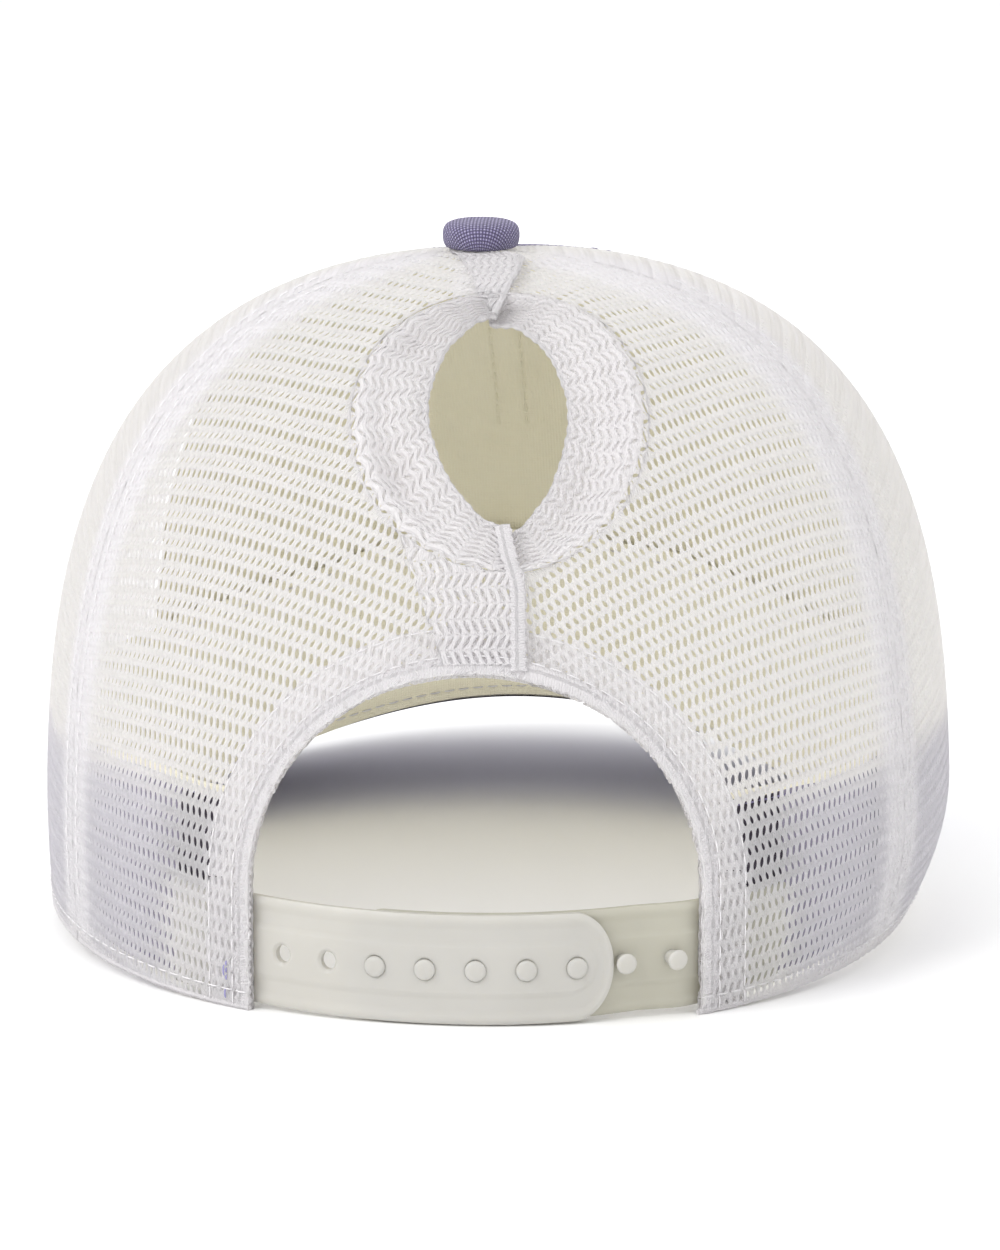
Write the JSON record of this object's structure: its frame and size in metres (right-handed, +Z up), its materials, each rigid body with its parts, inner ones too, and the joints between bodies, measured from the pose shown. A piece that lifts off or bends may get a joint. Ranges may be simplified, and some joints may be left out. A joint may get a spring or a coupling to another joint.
{
  "type": "trucker cap",
  "caption": "Mesh-back trucker cap with woven front panels, a curved peak, a ponytail hole, an arch and a plastic snap strap.",
  "frame": {"origin": "middle of the whole cap's footprint, on the surface that it rests on", "axes": "+Z up from the surface, the peak points to -Y, the strap is at +Y, the wearer's left is +X"},
  "size_m": [0.1692, 0.2664, 0.1304],
  "materials": {
    "front_weave": "matte basket weave, lavender",
    "front_backing": "matte cream cloth",
    "net": "white polyester net, slight sheen",
    "net_hem": "doubled white net, stitched",
    "seam_tape": "matte white tape",
    "sweatband": "matte grey lavender cloth",
    "strap_plastic": "milky translucent plastic, satin"
  },
  "bodies": {
    "root": {"front_panel_left": "front_weave", "front_panel_right": "front_weave", "front_backing": "front_backing", "side_mesh_left": "net", "side_mesh_right": "net", "back_mesh_left": "net", "back_mesh_right": "net", "ponytail_hem_left": "net_hem", "ponytail_hem_right": "net_hem", "arch_hem": "net_hem", "seam_tape_left": "seam_tape", "seam_tape_right": "seam_tape", "sweatband": "sweatband", "peak": "front_weave", "button": "front_weave", "strap_holes": "strap_plastic", "strap_pegs": "strap_plastic"}
  },
  "joints": []
}
